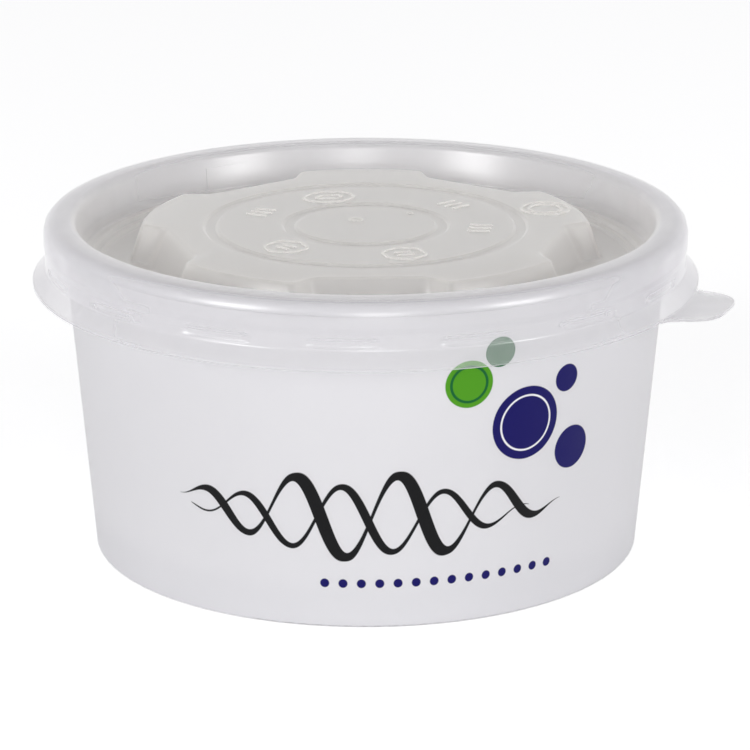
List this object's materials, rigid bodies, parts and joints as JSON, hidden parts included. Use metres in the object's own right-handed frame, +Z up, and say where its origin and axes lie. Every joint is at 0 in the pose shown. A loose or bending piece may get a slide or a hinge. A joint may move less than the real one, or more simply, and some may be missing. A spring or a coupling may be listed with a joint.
{
  "type": "paper dessert cup",
  "caption": "Round tapered paperboard dessert cup with a rolled rim and folded hem, and a press-on lid with a lobed sunk panel and a pull tab.",
  "frame": {"origin": "on the cup's axis, in the plane that the cup's hem stands on", "axes": "+Z up along the cup's axis, +X towards the lid's pull tab"},
  "size_m": [0.1078, 0.1008, 0.0512],
  "materials": {
    "paperboard": "satin coated white paperboard with a printed pattern",
    "base_board": "satin coated white paperboard",
    "lid_plastic": "frosted translucent moulded polypropylene"
  },
  "bodies": {
    "cup": {"side_wall": "paperboard", "bottom_disc": "base_board"},
    "lid": {"lid": "lid_plastic"}
  },
  "joints": [
    {"name": "lid_lift", "type": "slide", "parent": "cup", "child": "lid", "axis": [0, 0, 1], "range_m": [0, 0.07]}
  ]
}
